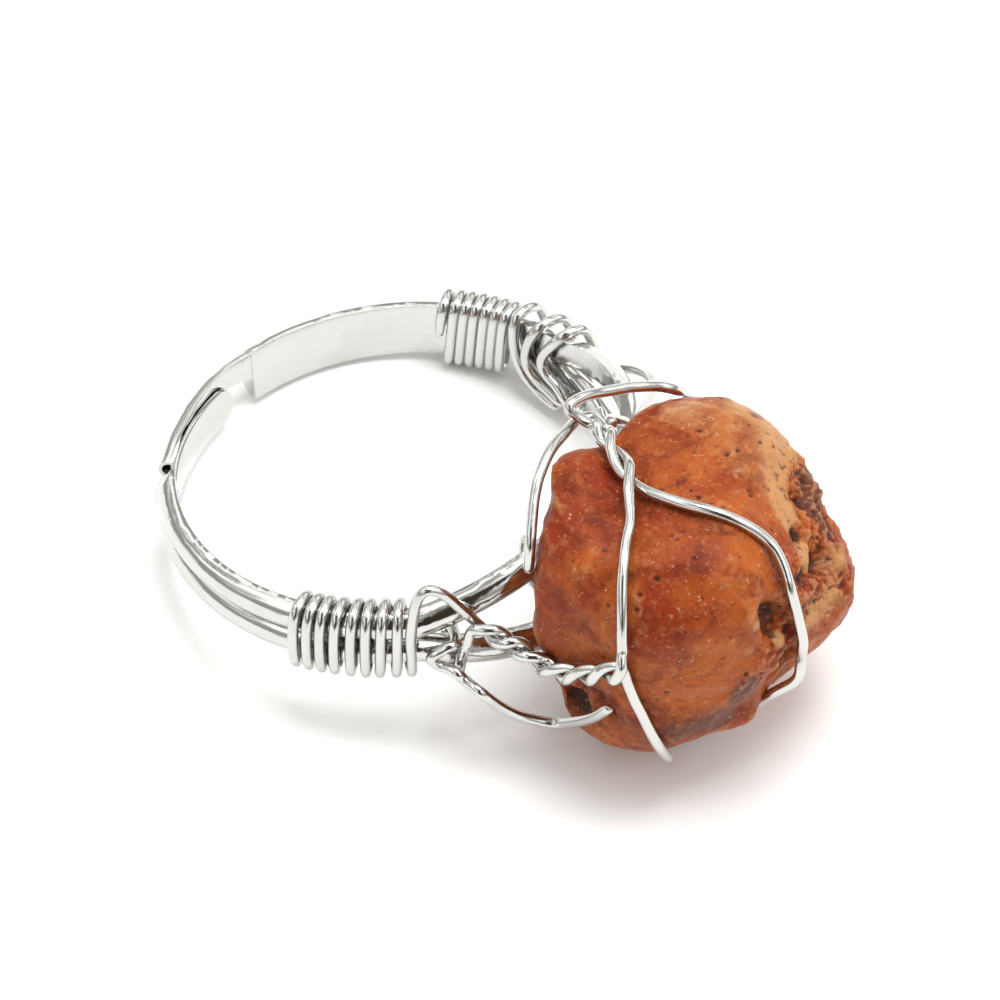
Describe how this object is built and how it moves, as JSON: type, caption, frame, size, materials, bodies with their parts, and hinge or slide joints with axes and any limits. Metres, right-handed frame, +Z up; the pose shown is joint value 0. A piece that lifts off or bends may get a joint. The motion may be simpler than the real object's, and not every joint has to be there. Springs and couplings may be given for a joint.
{
  "type": "wire wrapped ring",
  "caption": "Adjustable silver-coloured ring with a split band and a rough orange stone tied on with thin twisted wire.",
  "frame": {"origin": "middle of the bounding box's foot, on the table the ring lies on", "axes": "+X from the back of the hoop to the stone, +Z up, the hoop lying nearly flat"},
  "size_m": [0.0286, 0.0202, 0.0126],
  "materials": {
    "band": "bright silver plate, polished",
    "stone": "orange red carnelian, tumbled, waxy",
    "near_shoulder_wire": "bright silver wire",
    "cross_wire": "bright silver wire",
    "outer_wire": "bright silver wire",
    "far_shoulder_wire": "bright silver wire",
    "lower_tail_wire": "bright silver wire"
  },
  "bodies": {
    "root": {"band": "band", "stone": "stone", "near_shoulder_wire": "near_shoulder_wire", "cross_wire": "cross_wire", "outer_wire": "outer_wire", "far_shoulder_wire": "far_shoulder_wire", "lower_tail_wire": "lower_tail_wire"}
  },
  "joints": []
}
